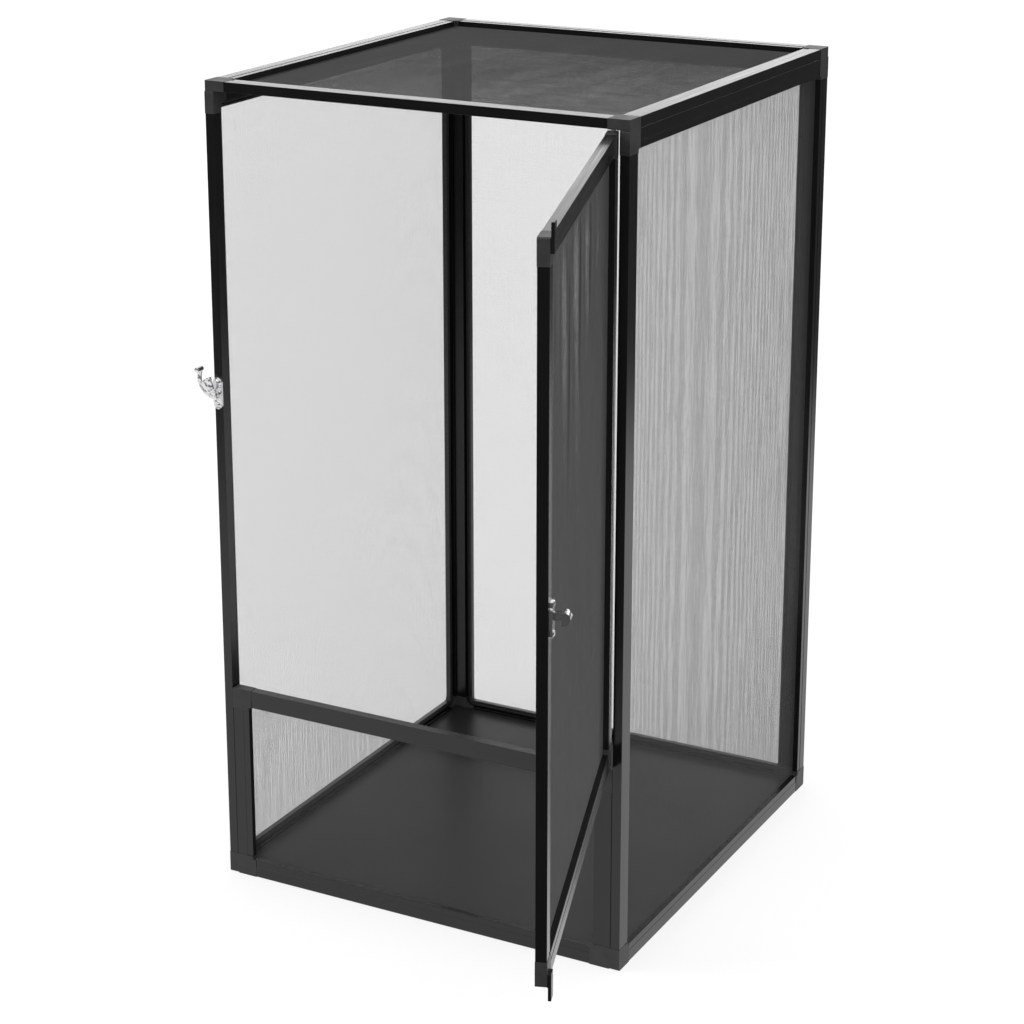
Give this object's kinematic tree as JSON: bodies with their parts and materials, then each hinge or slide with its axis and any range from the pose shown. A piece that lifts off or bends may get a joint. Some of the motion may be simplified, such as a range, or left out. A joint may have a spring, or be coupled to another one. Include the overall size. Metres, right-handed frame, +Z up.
{
  "type": "reptile terrarium",
  "caption": "Tall framed screen cage with a solid floor, a low fixed front panel and a hinged full-height front door with a crescent latch.",
  "frame": {"origin": "the middle of the footprint of the cage, on the ground, at the underside of the floor board", "axes": "+Z up, along the cage's height; +Y from the door's side to the back; +X to the right as seen from the front"},
  "size_m": [0.5421, 0.7858, 0.75],
  "materials": {
    "rail": "black anodised, satin",
    "block": "moulded dark grey plastic",
    "screen": "fine black net",
    "spline": "black soft cord",
    "board": "dark grey board, semi-gloss",
    "dowel": "plain nylon",
    "pin": "turned steel",
    "tab": "black moulded plastic",
    "chrome": "polished chrome plate"
  },
  "bodies": {
    "cage": {"left_top_rail": "rail", "left_bottom_rail": "rail", "left_front_stile": "rail", "left_rear_stile": "rail", "left_corner_blocks": "block", "left_screen": "screen", "left_spline": "spline", "right_top_rail": "rail", "right_bottom_rail": "rail", "right_front_stile": "rail", "right_rear_stile": "rail", "right_corner_blocks": "block", "right_screen": "screen", "right_spline": "spline", "back_top_rail": "rail", "back_bottom_rail": "rail", "back_left_stile": "rail", "back_right_stile": "rail", "back_corner_blocks": "block", "back_screen": "screen", "back_spline": "spline", "lower_top_rail": "rail", "lower_bottom_rail": "rail", "lower_left_stile": "rail", "lower_right_stile": "rail", "lower_corner_blocks": "block", "lower_screen": "screen", "lower_spline": "spline", "lid_front_rail": "rail", "lid_rear_rail": "rail", "lid_left_rail": "rail", "lid_right_rail": "rail", "lid_corner_blocks": "block", "lid_screen": "screen", "lid_spline": "spline", "floor_board": "board", "floor_dowels": "dowel", "lid_dowels": "dowel", "back_dowels": "dowel", "lower_dowels": "dowel", "hinge_washer": "dowel", "latch_base": "chrome", "latch_rivet": "chrome", "latch_screws": "chrome"},
    "door": {"door_top_rail": "rail", "door_bottom_rail": "rail", "door_hinge_stile": "rail", "door_free_stile": "rail", "door_corner_blocks": "block", "door_screen": "screen", "door_spline": "spline", "hinge_pins": "pin", "door_stop_tabs": "tab", "keeper": "chrome", "keeper_screws": "chrome"},
    "lever": {"latch_lever": "chrome"}
  },
  "joints": [
    {"name": "door_swing", "type": "hinge", "parent": "cage", "child": "door", "pos_m": [0.1863, -0.211, 0.4645], "axis": [0, 0, 1], "range_deg": [-109, 11]},
    {"name": "latch_swing", "type": "hinge", "parent": "cage", "child": "lever", "pos_m": [-0.1985, -0.2205, 0.47], "axis": [0, 1, 0], "range_deg": [0, 105]}
  ]
}
